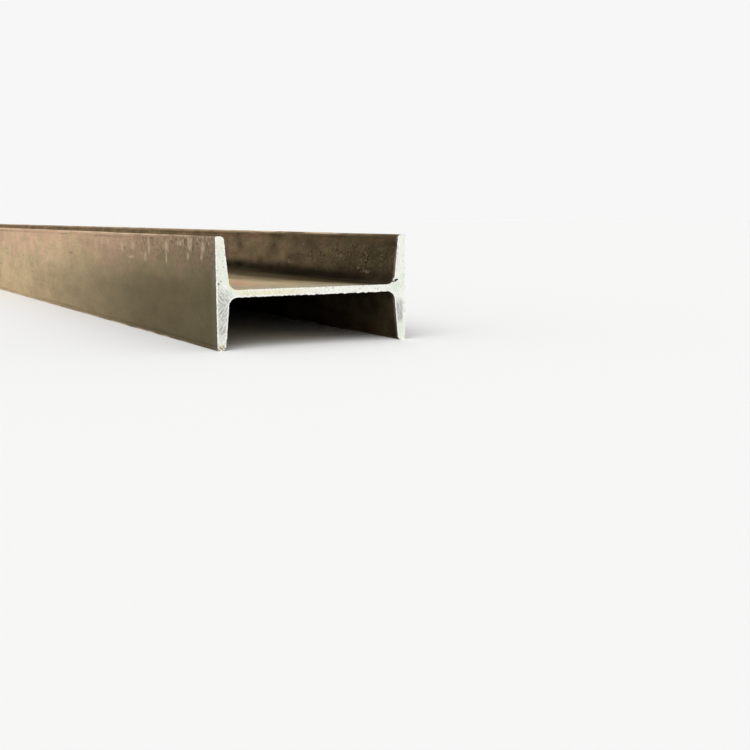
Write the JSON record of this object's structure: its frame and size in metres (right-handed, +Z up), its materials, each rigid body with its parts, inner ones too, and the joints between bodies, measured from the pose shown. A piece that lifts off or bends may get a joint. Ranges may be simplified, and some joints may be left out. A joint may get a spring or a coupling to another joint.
{
  "type": "steel i-beam",
  "caption": "Bar of hot-rolled steel I-beam with tapered flanges and rounded roots, sawn square at both ends, lying with its web level and its flanges upright.",
  "frame": {"origin": "under the middle of the bar, at the centre of the surface that its flange edges rest on", "axes": "+X across the section from flange to flange, +Y along the bar, +Z up the flanges; the web is level"},
  "size_m": [0.18, 3, 0.094],
  "materials": {
    "rolled_steel": "as rolled: dull grey-brown mill scale on the rolled faces, with bare bright steel on the two sawn ends"
  },
  "bodies": {
    "root": {"i_beam": "rolled_steel"}
  },
  "joints": []
}
